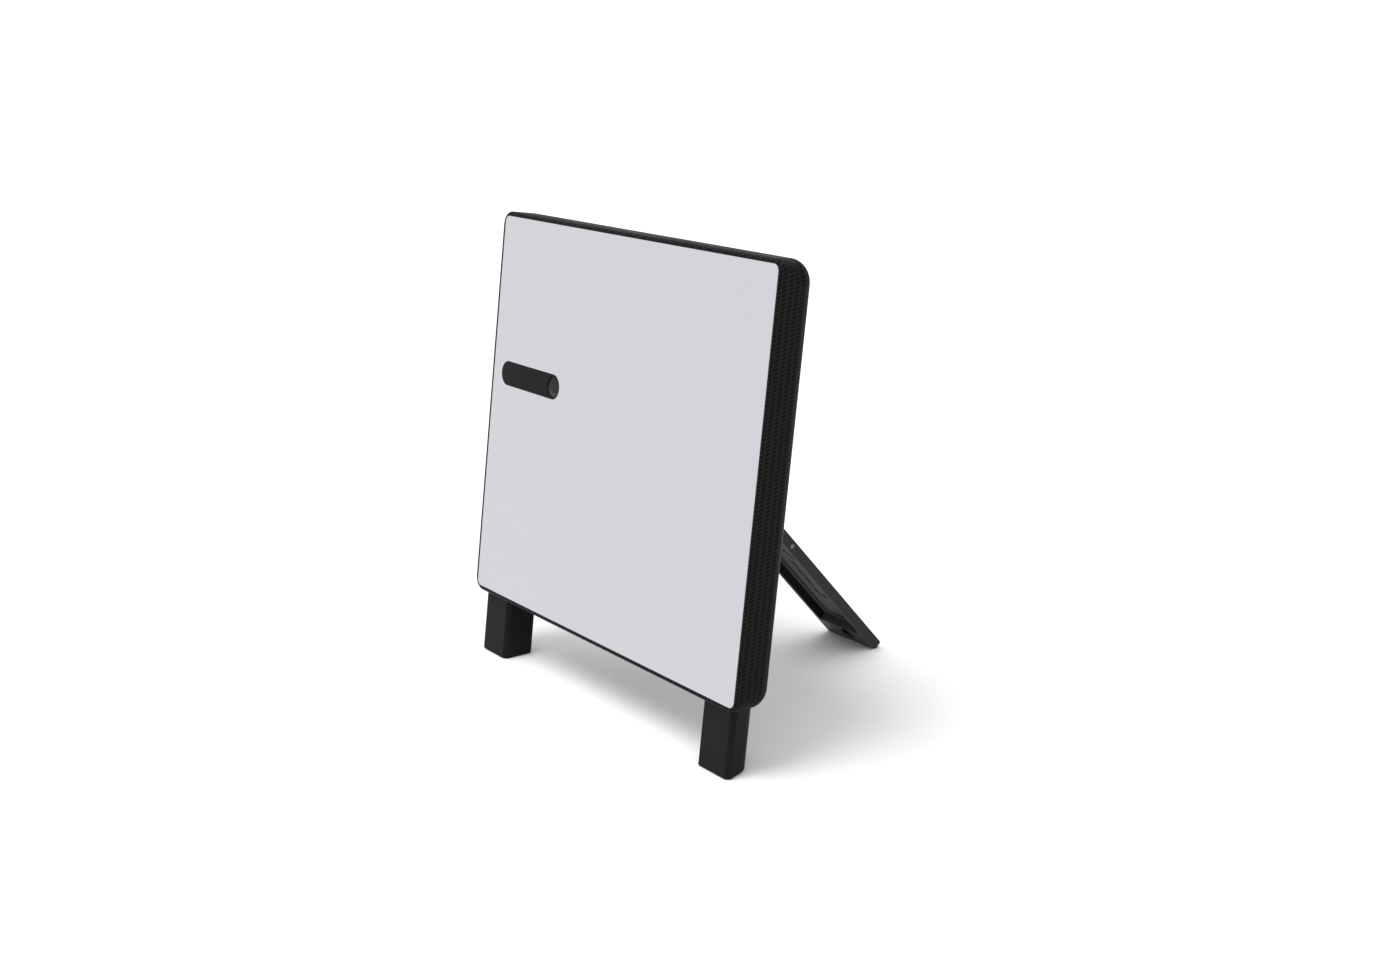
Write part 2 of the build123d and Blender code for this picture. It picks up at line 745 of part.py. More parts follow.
camera_screws = screws(camera_points, camera_board_front, chassis_back - camera_board_front, forward=False)
camera_screws.label = "camera_screws"
export_step(camera_screws, "parts/camera_screws.step")

# ================================================================ radar board
with BuildPart() as antenna_board:
    with BuildSketch(behind(antenna_back)):
        with Locations((antenna_center_x, 0)):
            RectangleRounded(antenna_width, antenna_height, board_corner)
        with Locations(*spacer_points):
            Circle(screw_radius + screw_hole_gap, mode=Mode.SUBTRACT)
    extrude(amount=board_thickness)
antenna_board.part.label = "antenna_board"
export_step(antenna_board.part, "parts/antenna_board.step")

with BuildPart() as antenna_patches:
    with BuildSketch(behind(antenna_depth)):
        for bank in (-1, 1):
            with Locations((antenna_center_x + bank * patch_bank_steps * patch_pitch, 0)):
                with GridLocations(patch_pitch, patch_pitch, patch_columns, patch_rows):
                    Rectangle(patch_size, patch_size)
    extrude(amount=patch_thickness)
antenna_patches.part.label = "antenna_patches"
export_step(antenna_patches.part, "parts/antenna_patches.step")

with BuildPart() as antenna_spacers:
    with BuildSketch(behind(chassis_depth)):
        with Locations(*spacer_points):
            RegularPolygon(spacer_radius, 6)
        with Locations(*spacer_points):
            Circle(screw_radius + screw_hole_gap, mode=Mode.SUBTRACT)
    extrude(amount=chassis_depth - antenna_back)
antenna_spacers.part.label = "antenna_spacers"
export_step(antenna_spacers.part, "parts/antenna_spacers.step")

antenna_screws = screws(spacer_points, antenna_depth, spacer_screw_length, forward=False)
antenna_screws.label = "antenna_screws"
export_step(antenna_screws, "parts/antenna_screws.step")

shield_center = (antenna_center_x, -shield_height / 2)
with BuildPart() as radar_shield:
    with BuildSketch(behind(antenna_back + shield_thickness)):
        with Locations(shield_center):
            RectangleRounded(shield_width, shield_height, shield_corner)
    extrude(amount=shield_thickness)
    with BuildSketch(behind(antenna_back + shield_thickness - shield_wall)):
        with Locations(shield_center):
            RectangleRounded(shield_width - 2 * shield_wall, shield_height - 2 * shield_wall,
                             shield_corner - shield_wall)
    extrude(amount=shield_thickness - shield_wall, mode=Mode.SUBTRACT)
radar_shield.part.label = "radar_shield"
export_step(radar_shield.part, "parts/radar_shield.step")

# ================================================================ main board
with BuildPart() as main_board:
    with BuildSketch(behind(main_back)):
        with Locations((0, main_center_height)):
            RectangleRounded(main_width, main_height, board_corner)
        with Locations(*main_posts):
            Circle(screw_radius + screw_hole_gap, mode=Mode.SUBTRACT)
    extrude(amount=board_thickness)
main_board.part.label = "main_board"
export_step(main_board.part, "parts/main_board.step")

with BuildPart() as board_spacers:
    with BuildSketch(behind(main_front)):
        with Locations(*main_posts):
            RegularPolygon(spacer_radius, 6)
        with Locations(*main_posts):
            Circle(screw_radius + screw_hole_gap, mode=Mode.SUBTRACT)
    extrude(amount=main_gap)
board_spacers.part.label = "board_spacers"
export_step(board_spacers.part, "parts/board_spacers.step")

board_screws = screws(main_posts, main_back, board_screw_length, forward=True)
board_screws.label = "board_screws"
export_step(board_screws, "parts/board_screws.step")

with BuildPart() as processor_shield:
    with BuildSketch(behind(main_back + processor_thickness)):
        with Locations((processor_x, processor_height_center)):
            RectangleRounded(processor_width, processor_height, shield_corner)
    extrude(amount=processor_thickness)
    with BuildSketch(behind(main_back + processor_thickness - shield_wall)):
        with Locations((processor_x, processor_height_center)):
            RectangleRounded(processor_width - 2 * shield_wall, processor_height - 2 * shield_wall,
                             shield_corner - shield_wall)
    extrude(amount=processor_thickness - shield_wall, mode=Mode.SUBTRACT)
processor_shield.part.label = "processor_shield"
export_step(processor_shield.part, "parts/processor_shield.step")

with BuildPart() as radio_module:
    with BuildSketch(behind(main_back + radio_thickness)):
        with Locations((radio_x, main_center_height + main_height / 2 - radio_drop)):
            Rectangle(radio_width, radio_height)
    extrude(amount=radio_thickness)
    chamfer(radio_module.edges().group_by(depth_axis)[-1], radio_chamfer)
radio_module.part.label = "radio_module"
export_step(radio_module.part, "parts/radio_module.step")

with BuildPart() as link_connector:
    with BuildSketch(behind(main_front)):
        with Locations((link_x, link_height)):
            Rectangle(link_width, link_thickness)
    extrude(amount=main_front - antenna_back)
link_connector.part.label = "link_connector"
export_step(link_connector.part, "parts/link_connector.step")

# ================================================================ front legs
guide_inner_x = leg_inner_x - slide_gap
guide_outer_x = leg_outer_x + slide_gap
guide_front = leg_front - slide_gap
guide_back = leg_back + slide_gap
guide_top = leg_top + leg_travel + guide_top_margin
# the guide's outer wall runs beside the leg's slanting face as far as the leg's middle
leg_side_slope = leg_taper / (leg_back - chamfer_back)
side_gap_x = slide_gap * (1 + leg_side_slope ** 2) ** 0.5
guide_end_x = leg_outer_x - leg_side_slope * (leg_depth_center - chamfer_back) + side_gap_x
guide_chamfer = leg_chamfer + slide_gap
ledge_stop_x = panel_width / 2 - ledge_width - slide_gap
pad_width = leg_width - pad_margin - pad_outer_margin
pad_x = leg_inner_x + pad_margin + pad_width / 2
sole_shift = center_y - center_rise * tan(radians(tilt))
pad_front = sole_shift + leg_front / lean_cos + pad_margin
pad_back = sole_shift + leg_back / lean_cos - pad_margin

with BuildPart() as right_leg:
    section = leg_section(-half_height - leg_reach - leg_width, 0)
    extrude(section, amount=leg_reach + leg_width + leg_engagement)
    # lug that runs in the guide and stops the leg at both ends
    with BuildSketch(level(leg_top - lug_height)):
        with Locations((leg_inner_x, leg_depth_center)):
            Rectangle(2 * lug_reach, lug_depth)
    extrude(amount=lug_height)
    split(bisect_by=Plane.XY.offset(pad_proud), keep=Keep.TOP)
    fillet(right_leg.faces().sort_by(Axis.Z)[0].edges(), leg_sole_fillet)
    with BuildSketch(Plane.XY):
        with Locations((pad_x, (pad_front + pad_back) / 2)):
            RectangleRounded(pad_width, pad_back - pad_front, pad_corner)
    extrude(amount=pad_thickness, mode=Mode.SUBTRACT)
right_leg.part.label = "right_leg"
export_step(right_leg.part, "parts/right_leg.step")

with BuildPart() as left_leg:
    mirror(right_leg.part, about=Plane.YZ)
left_leg.part.label = "left_leg"
export_step(left_leg.part, "parts/left_leg.step")

with BuildPart() as right_leg_pad:
    with BuildSketch(Plane.XY):
        with Locations((pad_x, (pad_front + pad_back) / 2)):
            RectangleRounded(pad_width, pad_back - pad_front, pad_corner)
    extrude(amount=pad_thickness)
right_leg_pad.part.label = "right_leg_pad"
export_step(right_leg_pad.part, "parts/right_leg_pad.step")

with BuildPart() as left_leg_pad:
    mirror(right_leg_pad.part, about=Plane.YZ)
left_leg_pad.part.label = "left_leg_pad"
export_step(left_leg_pad.part, "parts/left_leg_pad.step")

with BuildPart() as right_leg_guide:
    # three walls and a back lip round the leg
    with BuildSketch(level(guide_bottom)):
        with BuildLine():
            Polyline(
                (ear_outer_x, guide_front - guide_wall),
                (ledge_stop_x, guide_front - guide_wall),
                (ledge_stop_x, ledge_back + slide_gap),
                (guide_outer_x + guide_outer_wall, ledge_back + slide_gap),
                (guide_outer_x + guide_outer_wall, chamfer_back),
                (guide_end_x + guide_outer_wall, leg_depth_center),
                (guide_end_x, leg_depth_center),
                (guide_outer_x, chamfer_back),
                (guide_outer_x - guide_chamfer, guide_front),
                (guide_inner_x, guide_front),
                (guide_inner_x, guide_back),
                (leg_inner_x + guide_lip, guide_back),
                (leg_inner_x + guide_lip, guide_back + guide_back_wall),
                (ear_outer_x, guide_back + guide_back_wall), close=True)
        make_face()
    extrude(amount=guide_top - guide_bottom)
    # channel for the leg's lug
    channel_bottom = leg_top - lug_height - body_gap
    with BuildSketch(level(channel_bottom)):
        with Locations((guide_inner_x, leg_depth_center)):
            Rectangle(2 * (lug_reach - slide_gap + body_gap), lug_depth + 2 * slide_gap)
    extrude(amount=lug_height + leg_travel + 2 * body_gap, mode=Mode.SUBTRACT)
    # ear that screws to the inner frame
    with BuildSketch(behind(chassis_back + ear_thickness)):
        with Locations((ear_outer_x - ear_length / 2, ear_center)):
            Rectangle(ear_length, ear_height)
    extrude(amount=ear_thickness)
    extrude(discs(ear_points, chassis_back + ear_thickness, screw_radius), amount=ear_thickness,
            mode=Mode.SUBTRACT)
right_leg_guide.part.label = "right_leg_guide"
export_step(right_leg_guide.part, "parts/right_leg_guide.step")

with BuildPart() as left_leg_guide:
    mirror(right_leg_guide.part, about=Plane.YZ)
left_leg_guide.part.label = "left_leg_guide"
export_step(left_leg_guide.part, "parts/left_leg_guide.step")

guide_screws = screws(ear_points, chassis_depth, guide_screw_length, forward=False)
guide_screws.label = "guide_screws"
export_step(guide_screws, "parts/guide_screws.step")

# ================================================================ stand bracket and hinge pin
bracket_inner_x = arm_width / 2 + washer_thickness + 2 * washer_gap
bracket_outer_x = bracket_inner_x + bracket_ear
bracket_bottom = hinge_height + bracket_above_hinge
bracket_top = bracket_bottom + bracket_height

with BuildPart() as stand_bracket:
    with BuildSketch(behind(bay_floor + bracket_thickness)):
        with Locations((0, bracket_base_height)):
            Rectangle(2 * bracket_outer_x, bracket_height)
    extrude(amount=bracket_thickness)
    for sx in (-1, 1):
        ear_start = min(sx * bracket_inner_x, sx * bracket_outer_x)
        with BuildSketch(side(ear_start)):
            with Locations((hinge_depth, hinge_height)):
                Circle(ear_radius)
            with Locations((bay_floor, hinge_height)):
                Rectangle(hinge_depth - bay_floor + ear_radius, bracket_top - hinge_height,
                          align=(Align.MIN, Align.MIN))
                Rectangle(hinge_depth - bay_floor, bracket_foot, align=(Align.MIN, Align.MAX))
        extrude(amount=bracket_ear)
    with BuildSketch(side(-bracket_outer_x)):
        with Locations((hinge_depth, hinge_height)):
            Circle(hinge_pin_radius)
    extrude(amount=2 * bracket_outer_x, mode=Mode.SUBTRACT)
    extrude(discs(bracket_points, bay_floor + bracket_thickness, screw_radius + screw_hole_gap),
            amount=bracket_thickness, mode=Mode.SUBTRACT)
stand_bracket.part.label = "stand_bracket"
export_step(stand_bracket.part, "parts/stand_bracket.step")

bracket_screws = screws(bracket_points, bay_floor + bracket_thickness, bracket_screw_length, forward=True)
bracket_screws.label = "bracket_screws"
export_step(bracket_screws, "parts/bracket_screws.step")

with BuildPart() as stand_hinge_pin:
    with BuildSketch(side(-bracket_outer_x)):
        with Locations((hinge_depth, hinge_height)):
            Circle(hinge_pin_radius)
    extrude(amount=2 * bracket_outer_x)
    chamfer(stand_hinge_pin.edges().filter_by(GeomType.CIRCLE), hinge_pin_chamfer)
stand_hinge_pin.part.label = "stand_hinge_pin"
export_step(stand_hinge_pin.part, "parts/stand_hinge_pin.step")

with BuildPart() as stand_washers:
    for washer_start in (-bracket_inner_x + washer_gap / 2,
                         bracket_inner_x - washer_gap / 2 - washer_thickness):
        with BuildSketch(side(washer_start)):
            with Locations((hinge_depth, hinge_height)):
                Circle(washer_radius)
                Circle(hinge_pin_radius + running_gap, mode=Mode.SUBTRACT)
        extrude(amount=washer_thickness)
stand_washers.part.label = "stand_washers"
export_step(stand_washers.part, "parts/stand_washers.step")

# ================================================================ stand arm
arm_half = arm_width / 2
stop_reach = hinge_depth - bay_floor - body_gap
pin_start = arm_length - stand_travel
groove_length = stand_travel + 2 * (groove_width / 2 + body_gap)

with BuildPart() as stand_arm:
    with BuildSketch(stand_face(-arm_thickness / 2)):
        with Locations((0, (arm_length + arm_end) / 2)):
            Rectangle(arm_width, arm_length + arm_end)
        with Locations((0, arm_window_start + arm_window_length / 2)):
            RectangleRounded(arm_window_width, arm_window_length, arm_window_corner, mode=Mode.SUBTRACT)
    extrude(amount=arm_thickness)
    fillet(stand_arm.edges().filter_by(Axis(hinge_center, off_stand)).group_by(stand_axis)[-1],
           arm_end_corner)
    # knuckle, and the heel that meets the bay floor when the stand is open
    with BuildSketch(side(-arm_half)):
        with Locations((hinge_depth, hinge_height)):
            Circle(knuckle_radius)
            Polygon((-stop_reach, stop_foot), (-stop_reach, stop_height), (-stop_reach / 2, stop_crest),
                    (0, knuckle_radius), (0, 0), align=None)
    extrude(amount=arm_width)
    with BuildSketch(side(-arm_half)):
        with Locations((hinge_depth, hinge_height)):
            Circle(hinge_pin_radius + running_gap)
    extrude(amount=arm_width, mode=Mode.SUBTRACT)
    # grooves in both edges for the guide pins
    for sx in (-1, 1):
        with BuildSketch(stand_face(-groove_width / 2)):
            with Locations((sx * arm_half, (pin_start + arm_length) / 2)):
                Rectangle(2 * groove_depth, groove_length)
        extrude(amount=groove_width, mode=Mode.SUBTRACT)
stand_arm.part.label = "stand_arm"
export_step(stand_arm.part, "parts/stand_arm.step")

# ================================================================ stand leg
stand_half = arm_half + slide_gap + leg_flange
stand_start = arm_length - stand_upper
channel_end = arm_length + channel_length
web_inner = stand_outer - stand_web
foot_cut = floor_bite + stand_pad_proud
corner_y = (panel_center + back * hinge_depth + up * hinge_height).Y + stand_length * foot_cos \
    - stand_inner_at_foot * foot_sin
facet_y = corner_y + foot_cut * (foot_sin / foot_cos - foot_cos / foot_sin) / 2


def past_pins(points):
    # across, and along the stand from the guide pins
    return [(x, arm_length + y) for x, y in points]


with BuildPart() as stand_leg:
    with BuildSketch(stand_side(-stand_half)) as stand_profile:
        Polygon((stand_start, stand_outer), (stand_length, stand_outer), (stand_length, -stand_inner_at_foot),
                (arm_length, -stand_outer), (stand_start, -stand_outer), align=None)
        fillet(stand_profile.vertices().group_by(Axis.X)[-1].sort_by(Axis.Y)[-1], tip_fillet)
    extrude(amount=2 * stand_half)
    fillet(stand_leg.edges().filter_by(Axis(hinge_center, off_stand)).group_by(stand_axis)[0], stand_corner)
    # channel over the arm
    with BuildSketch(stand_face(web_inner)):
        with Locations((0, (stand_start + channel_end) / 2)):
            Rectangle(2 * (stand_half - leg_flange), channel_end - stand_start)
    extrude(amount=-flange_at_foot, mode=Mode.SUBTRACT)
    # bridge that closes the channel round the arm
    with BuildSketch(stand_face(-stand_outer)):
        with Locations((0, stand_start + stand_corner + bridge_length / 2)):
            Rectangle(2 * stand_half - leg_flange, bridge_length)
    extrude(amount=stand_web)
    # grooves in the channel floor: an outline, a bow, a slit and a hook
    outline_length = channel_end - rib_outline_end - stand_start - bridge_length
    with BuildSketch(stand_face(web_inner)):
        with Locations((0, channel_end - rib_outline_end - outline_length / 2)):
            RectangleRounded(2 * rib_outline_x, outline_length, rib_outline_corner)
            RectangleRounded(2 * (rib_outline_x - rib_groove_width), outline_length - 2 * rib_groove_width,
                             rib_outline_corner - rib_groove_width, mode=Mode.SUBTRACT)
        with BuildLine():
            ThreePointArc(*past_pins(rib_head))
        trace(line_width=rib_groove_width)
        with BuildLine():
            Line(*past_pins(rib_slit))
        trace(line_width=rib_groove_width)
        with BuildLine():
            foot_line = ThreePointArc(*past_pins(rib_foot))
            Line(foot_line @ 1, *past_pins([rib_foot_end]))
        trace(line_width=rib_groove_width)
    extrude(amount=rib_groove_depth, mode=Mode.SUBTRACT)
    # finger recess in the foot
    with BuildSketch(stand_face(-flange_at_foot)):
        with Locations((finger_x, channel_end + finger_offset)):
            Circle(finger_radius)
    extrude(amount=stand_outer + finger_depth, mode=Mode.SUBTRACT)
    # bores for the guide pins
    with BuildSketch(stand_side(-stand_half)):
        with Locations((arm_length, 0)):
            Circle(guide_pin_radius)
    extrude(amount=2 * stand_half, mode=Mode.SUBTRACT)
    split(bisect_by=Plane.XY.offset(stand_pad_proud), keep=Keep.TOP)
    with BuildSketch(Plane.XY):
        with Locations((0, facet_y)):
            Rectangle(stand_pad_width, stand_pad_length)
    extrude(amount=stand_pad_proud + stand_pad_depth, mode=Mode.SUBTRACT)
stand_leg.part.label = "stand_leg"
export_step(stand_leg.part, "parts/stand_leg.step")

with BuildPart() as stand_pad:
    with BuildSketch(Plane.XY):
        with Locations((0, facet_y)):
            Rectangle(stand_pad_width, stand_pad_length)
    extrude(amount=stand_pad_proud + stand_pad_depth)
stand_pad.part.label = "stand_pad"
export_step(stand_pad.part, "parts/stand_pad.step")

with BuildPart() as guide_pins:
    for sx in (-1, 1):
        with BuildSketch(stand_side(sx * stand_half)):
            with Locations((arm_length, 0)):
                Circle(guide_pin_radius)
        extrude(amount=-sx * leg_flange)
        with BuildSketch(stand_side(sx * (stand_half - leg_flange))):
            with Locations((arm_length, 0)):
                Circle(guide_pin_tip_radius)
        extrude(amount=-sx * (slide_gap + groove_depth - body_gap))
guide_pins.part.label = "guide_pins"
export_step(guide_pins.part, "parts/guide_pins.step")

# ================================================================ battery, cradle and door
door_inner = inner_back + body_gap
battery_back = inner_back - battery_setback
battery_front = battery_back - battery_thickness
cradle_inside = battery_front - battery_gap
cradle_front = cradle_inside - cradle_floor
battery_point = [(battery_x, battery_height_center)]
contact_points = [(contact_x + sx * contact_pitch / 2, contact_height) for sx in (-1, 1)]

with BuildPart() as battery_pack:
    with BuildSketch(behind(battery_back)):
        with Locations(*battery_point):
            RectangleRounded(battery_width, battery_height, battery_corner)
    extrude(amount=battery_thickness)
    fillet(battery_pack.edges().group_by(depth_axis)[-1] + battery_pack.edges().group_by(depth_axis)[0],
           battery_edge)
battery_pack.part.label = "battery_pack"
export_step(battery_pack.part, "parts/battery_pack.step")

pocket_width = battery_width + 2 * battery_gap
pocket_height = battery_height + 2 * battery_gap
flange_left = door_axis_x + boss_size / 2 + body_gap
flange_right = -bay_width / 2 - wall - body_gap
flange_height = door_height + 2 * edge_gap + 2 * cradle_wall

with BuildPart() as battery_cradle:
    extrude(plates(battery_point, inner_back, pocket_width + 2 * cradle_wall,
                   pocket_height + 2 * cradle_wall),
            amount=inner_back - cradle_front)
    # flange that the door's opening bears on
    flange_point = [((flange_left + flange_right) / 2, door_y)]
    extrude(plates(flange_point, inner_back, flange_right - flange_left, flange_height), amount=cradle_floor)
    extrude(plates(battery_point, inner_back, pocket_width, pocket_height), amount=inner_back - cradle_inside,
            mode=Mode.SUBTRACT)
    contact_window = [(contact_x, contact_height)]
    extrude(plates(contact_window, cradle_inside, contact_pitch + contact_size + 2 * contact_gap,
                   contact_size + 2 * contact_gap), amount=cradle_floor, mode=Mode.SUBTRACT)
battery_cradle.part.label = "battery_cradle"
export_step(battery_cradle.part, "parts/battery_cradle.step")

with BuildPart() as battery_contacts:
    extrude(plates(contact_points, battery_front, contact_size, contact_size),
            amount=battery_front - main_back)
battery_contacts.part.label = "battery_contacts"
export_step(battery_contacts.part, "parts/battery_contacts.step")

with BuildPart() as battery_door:
    door_plate_width = door_width - knuckle_edge
    with BuildSketch(behind(back_depth)):
        with Locations((door_x + knuckle_edge / 2, door_y)):
            RectangleRounded(door_plate_width, door_height, door_corner)
    extrude(amount=back_depth - door_inner)
    with BuildSketch(level(door_y - door_height / 2)):
        with Locations((door_axis_x, flush_axis_depth)):
            Circle(knuckle_depth)
    extrude(amount=door_height)
    for end in (-1, 1):
        with BuildSketch(level(door_y + end * door_height / 2)):
            with Locations((door_axis_x, flush_axis_depth)):
                Circle(door_pin_radius + running_gap)
        extrude(amount=-end * (door_pin_engagement + body_gap), mode=Mode.SUBTRACT)
    # thumb scoop at the free edge
    with BuildSketch(behind(back_depth)):
        with Locations((door_x + door_width / 2, door_y)):
            Circle(thumb_radius)
    extrude(amount=thumb_depth, mode=Mode.SUBTRACT)
battery_door.part.label = "battery_door"
export_step(battery_door.part, "parts/battery_door.step")

with BuildPart() as door_pins:
    for end in (-1, 1):
        with BuildSketch(level(door_y + end * (door_height / 2 - door_pin_engagement))):
            with Locations((door_axis_x, flush_axis_depth)):
                Circle(door_pin_radius)
        extrude(amount=end * (2 * door_pin_engagement + edge_gap))
door_pins.part.label = "door_pins"
export_step(door_pins.part, "parts/door_pins.step")

# ================================================================ side board: sockets, switch, light
side_back = side_board_depth + board_thickness
pocket_floor = back_depth - pocket_depth
button_point = [(side_board_x, button_height_center)]
light_point = [(side_board_x, light_y)]

with BuildPart() as side_board:
    with BuildSketch(behind(side_back)):
        with Locations((side_board_x, 0)):
            RectangleRounded(side_board_width, side_board_height, board_corner)
        with Locations(*side_posts):
            Circle(screw_radius + screw_hole_gap, mode=Mode.SUBTRACT)
    extrude(amount=board_thickness)
side_board.part.label = "side_board"
export_step(side_board.part, "parts/side_board.step")

side_screws = screws(side_posts, side_board_depth, side_screw_length, forward=False)
side_screws.label = "side_screws"
export_step(side_screws, "parts/side_screws.step")

with BuildPart() as usb_socket:
    socket_mouth = pocket_floor - socket_setback
    socket_length = socket_mouth - side_back
    with BuildSketch(behind(socket_mouth)):
        with Locations((usb_x, cover_height_center)):
            SlotOverall(usb_width, usb_height)
    extrude(amount=socket_length)
    with BuildSketch(behind(socket_mouth)):
        with Locations((usb_x, cover_height_center)):
            SlotOverall(usb_width - 2 * usb_wall, usb_height - 2 * usb_wall)
            Rectangle(usb_width - 2 * (usb_wall + usb_tongue_gap), 2 * usb_wall, mode=Mode.SUBTRACT)
    extrude(amount=socket_length - usb_back_wall, mode=Mode.SUBTRACT)
usb_socket.part.label = "usb_socket"
export_step(usb_socket.part, "parts/usb_socket.step")

with BuildPart() as power_jack:
    jack_point = [(jack_x, cover_height_center)]
    jack_shoulder = pocket_floor - wall - socket_setback
    extrude(plates(jack_point, jack_shoulder, jack_size, jack_size), amount=jack_shoulder - side_back)
    extrude(discs(jack_point, socket_mouth, jack_size / 2), amount=socket_mouth - jack_shoulder)
    extrude(discs(jack_point, socket_mouth, jack_bore),
            amount=socket_length - jack_back_wall, mode=Mode.SUBTRACT)
    extrude(discs(jack_point, socket_mouth - jack_pin_setback, jack_pin),
            amount=socket_length - jack_pin_setback - jack_back_wall / 2)
power_jack.part.label = "power_jack"
export_step(power_jack.part, "parts/power_jack.step")

with BuildPart() as port_cover:
    with BuildSketch(behind(back_depth)):
        with Locations((cover_x, cover_height_center + knuckle_edge / 2)):
            RectangleRounded(cover_width, cover_height - knuckle_edge, door_corner)
    extrude(amount=pocket_depth - body_gap)
    with BuildSketch(side(cover_x - cover_width / 2)):
        with Locations((flush_axis_depth, cover_axis_y)):
            Circle(knuckle_depth)
    extrude(amount=cover_width)
    for end in (-1, 1):
        with BuildSketch(side(cover_x + end * cover_width / 2)):
            with Locations((flush_axis_depth, cover_axis_y)):
                Circle(door_pin_radius + running_gap)
        extrude(amount=-end * (cover_pin_engagement + body_gap), mode=Mode.SUBTRACT)
port_cover.part.label = "port_cover"
export_step(port_cover.part, "parts/port_cover.step")

with BuildPart() as cover_pins:
    for end in (-1, 1):
        with BuildSketch(side(cover_x + end * (cover_width / 2 - cover_pin_engagement))):
            with Locations((flush_axis_depth, cover_axis_y)):
                Circle(door_pin_radius)
        extrude(amount=end * (2 * cover_pin_engagement + edge_gap))
cover_pins.part.label = "cover_pins"
export_step(cover_pins.part, "parts/cover_pins.step")

with BuildPart() as power_button:
    button_shoulder = inner_back - edge_gap
    button_base = button_shoulder - button_flange_thickness
    stem_end = side_back + switch_thickness + button_travel + button_rest_gap
    extrude(discs(button_point, back_depth + button_proud, button_radius),
            amount=back_depth + button_proud - button_base)
    fillet(power_button.edges().group_by(depth_axis)[-1], button_edge)
    extrude(discs(button_point, button_shoulder, button_radius + button_flange),
            amount=button_flange_thickness)
    extrude(discs(button_point, button_base, button_stem_radius), amount=button_base - stem_end)
power_button.part.label = "power_button"
export_step(power_button.part, "parts/power_button.step")

with BuildPart() as button_switch:
    switch_shoulder = side_back + switch_case_thickness
    extrude(plates(button_point, switch_shoulder, switch_size, switch_size),
            amount=switch_shoulder - side_back)
    extrude(discs(button_point, side_back + switch_thickness, switch_plunger_radius),
            amount=switch_thickness - switch_case_thickness)
button_switch.part.label = "button_switch"
export_step(button_switch.part, "parts/button_switch.step")

with BuildPart() as status_led:
    extrude(plates(light_point, side_back + led_thickness, led_size, led_size), amount=led_thickness)
status_led.part.label = "status_led"
export_step(status_led.part, "parts/status_led.step")

with BuildPart() as light_pipe:
    pipe_start = side_back + led_thickness + pipe_gap
    extrude(discs(light_point, back_depth, light_radius), amount=back_depth - pipe_start)
light_pipe.part.label = "light_pipe"
export_step(light_pipe.part, "parts/light_pipe.step")
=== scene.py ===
from math import cos, radians, sin
import bmesh
import bpy
from mathutils import Matrix, Vector


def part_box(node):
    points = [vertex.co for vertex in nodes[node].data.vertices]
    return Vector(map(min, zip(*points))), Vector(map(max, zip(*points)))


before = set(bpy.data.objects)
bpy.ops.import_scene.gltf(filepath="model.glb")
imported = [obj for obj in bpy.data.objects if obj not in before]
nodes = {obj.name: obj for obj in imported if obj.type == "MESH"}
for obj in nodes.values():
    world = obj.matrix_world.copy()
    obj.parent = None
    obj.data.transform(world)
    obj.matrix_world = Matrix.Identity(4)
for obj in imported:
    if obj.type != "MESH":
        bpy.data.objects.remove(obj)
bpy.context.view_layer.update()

print("frame loaded:", len(nodes), "nodes")

# the unit leans back, so its own directions are right, up and back
lean = radians(8.0)
rightWay = Vector((1, 0, 0))
upWay = Vector((0, sin(lean), cos(lean)))
backWay = Vector((0, cos(lean), -sin(lean)))
panelLow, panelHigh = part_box("front_panel")
panelThick = 0.002
panelCentre = (panelLow + panelHigh) / 2 - backWay * panelThick / 2


def unitPoint(x, height, depth):
    # millimetres across, up and back from the middle of the panel's face
    return panelCentre + (rightWay * x + upWay * height + backWay * depth) / 1000


class Wire:
    # a socket that can be used in sums, so that shader maths reads like maths
    def __init__(self, look, socket):
        self.look = look
        self.socket = socket

    def maths(self, operation, *values):
        return self.look.node("Math", {"operation": operation}, dict(enumerate(values)))

    def __add__(self, other):
        return self.maths("ADD", self, other)

    def __radd__(self, other):
        return self.maths("ADD", other, self)

    def __sub__(self, other):
        return self.maths("SUBTRACT", self, other)

    def __rsub__(self, other):
        return self.maths("SUBTRACT", other, self)

    def __mul__(self, other):
        return self.maths("MULTIPLY", self, other)

    def __rmul__(self, other):
        return self.maths("MULTIPLY", other, self)

    def __truediv__(self, other):
        return self.maths("DIVIDE", self, other)

    def __gt__(self, other):
        return self.maths("GREATER_THAN", self, other)

    def __lt__(self, other):
        return self.maths("LESS_THAN", self, other)

    def floor(self):
        return self.maths("FLOOR", self)

    def fraction(self):
        return self.maths("FRACT", self)

    def size(self):
        return self.maths("ABSOLUTE", self)

    def ease(self, low, high, start=0.0, end=1.0):
        # a soft step from start to end while the value goes from low to high
        sockets = {"Value": self, "From Min": low, "From Max": high, "To Min": start, "To Max": end}
        return self.look.node("MapRange", {"interpolation_type": "SMOOTHSTEP"}, sockets)


